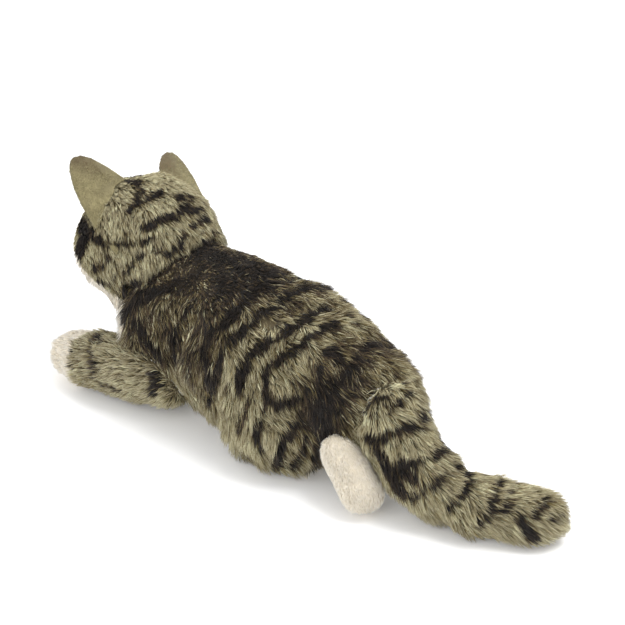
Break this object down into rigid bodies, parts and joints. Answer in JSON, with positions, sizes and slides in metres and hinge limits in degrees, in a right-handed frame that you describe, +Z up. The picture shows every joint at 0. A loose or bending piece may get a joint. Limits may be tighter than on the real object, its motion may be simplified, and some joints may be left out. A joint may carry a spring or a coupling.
{
  "type": "plush cat",
  "caption": "Stuffed toy tabby cat lying on its belly with head raised and tail trailing: sewn pile covers over fibre filling, soft jointed head, ears, legs and tail.",
  "frame": {"origin": "middle of the footprint, on the surface the toy lies on", "axes": "+Z up, nose towards -Y, tail towards +Y, the cat's own left side at +X"},
  "size_m": [0.1412, 0.4444, 0.159],
  "materials": {
    "tabby_pile": "long two-tone pile, brushed back",
    "white_pile": "soft white pile",
    "ear_pile": "short clipped pile",
    "ear_lining": "short clipped pile, pale",
    "filling": "loose fibre filling",
    "pouch": "woven pouch of pellets",
    "eye": "glossy moulded dome",
    "washer": "moulded push-on washer",
    "nose": "short clipped pile",
    "thread": "twisted embroidery thread",
    "whisker": "thin nylon filament"
  },
  "bodies": {
    "torso": {"back_panel_left": "tabby_pile", "back_panel_right": "tabby_pile", "belly_and_chest_panel": "white_pile", "torso_filling": "filling", "pellet_pouch": "pouch", "haunch_left_cover": "tabby_pile", "haunch_left_filling": "filling", "haunch_right_cover": "tabby_pile", "haunch_right_filling": "filling"},
    "neck": {"neck_filling": "filling"},
    "head": {"crown_cover": "tabby_pile", "face_and_throat_cover": "white_pile", "head_filling": "filling", "eye_left": "eye", "eye_washer_left": "washer", "eye_right": "eye", "eye_washer_right": "washer", "nose": "nose", "mouth_stitch": "thread", "whisker_left_1": "whisker", "whisker_left_2": "whisker", "whisker_left_3": "whisker", "whisker_left_4": "whisker", "whisker_right_1": "whisker", "whisker_right_2": "whisker", "whisker_right_3": "whisker", "whisker_right_4": "whisker"},
    "ear_left": {"ear_outer_left": "ear_pile", "ear_lining_left": "ear_lining"},
    "foreleg_left": {"foreleg_left_sleeve": "tabby_pile", "foreleg_left_paw": "white_pile", "foreleg_left_filling": "filling"},
    "hind_foot_left": {"hind_foot_left_cover": "white_pile", "hind_foot_left_filling": "filling"},
    "ear_right": {"ear_outer_right": "ear_pile", "ear_lining_right": "ear_lining"},
    "foreleg_right": {"foreleg_right_sleeve": "tabby_pile", "foreleg_right_paw": "white_pile", "foreleg_right_filling": "filling"},
    "hind_foot_right": {"hind_foot_right_cover": "white_pile", "hind_foot_right_filling": "filling"},
    "tail_root": {"tail_root_cover": "tabby_pile", "tail_root_filling": "filling"},
    "tail_end": {"tail_end_cover": "tabby_pile", "tail_end_filling": "filling"}
  },
  "joints": [
    {"name": "neck_turn", "type": "hinge", "parent": "torso", "child": "neck", "pos_m": [0.00262, -0.10811, 0.061], "axis": [0, 0, 1], "range_deg": [-14, 14], "stiffness_Nm_per_rad": 1.5},
    {"name": "head_nod", "type": "hinge", "parent": "neck", "child": "head", "pos_m": [0.00262, -0.10811, 0.061], "axis": [1, 0, 0], "range_deg": [-7, 5], "stiffness_Nm_per_rad": 8},
    {"name": "ear_fold_left", "type": "hinge", "parent": "head", "child": "ear_left", "pos_m": [0.00298, -0.17265, 0.14957], "axis": [0.7576, 0.4696, -0.4534], "range_deg": [-5, 5], "stiffness_Nm_per_rad": 0.05},
    {"name": "ear_fold_right", "type": "hinge", "parent": "head", "child": "ear_right", "pos_m": [-0.02759, -0.16503, 0.14402], "axis": [-0.2616, 0.7237, -0.6386], "range_deg": [-5, 5], "stiffness_Nm_per_rad": 0.05},
    {"name": "foreleg_lift_left", "type": "hinge", "parent": "torso", "child": "foreleg_left", "pos_m": [0.03662, -0.09811, 0.032], "axis": [-1, 0, 0], "range_deg": [0, 6], "stiffness_Nm_per_rad": 0.6},
    {"name": "foreleg_lift_right", "type": "hinge", "parent": "torso", "child": "foreleg_right", "pos_m": [-0.03138, -0.09811, 0.032], "axis": [-1, 0, 0], "range_deg": [0, 6], "stiffness_Nm_per_rad": 0.6},
    {"name": "hind_foot_lift_left", "type": "hinge", "parent": "torso", "child": "hind_foot_left", "pos_m": [0.03662, 0.06189, 0.036], "axis": [1, 0, 0], "range_deg": [0, 5], "stiffness_Nm_per_rad": 0.3},
    {"name": "hind_foot_lift_right", "type": "hinge", "parent": "torso", "child": "hind_foot_right", "pos_m": [-0.03138, 0.04189, 0.036], "axis": [1, 0, 0], "range_deg": [0, 5], "stiffness_Nm_per_rad": 0.3},
    {"name": "tail_swing", "type": "hinge", "parent": "torso", "child": "tail_root", "pos_m": [0.00262, 0.05589, 0.061], "axis": [0, 0, 1], "range_deg": [0, 14], "stiffness_Nm_per_rad": 1},
    {"name": "tail_curl", "type": "hinge", "parent": "tail_root", "child": "tail_end", "pos_m": [0.01862, 0.14489, 0.024], "axis": [0, 0, 1], "range_deg": [-15, 15], "stiffness_Nm_per_rad": 0.4}
  ]
}
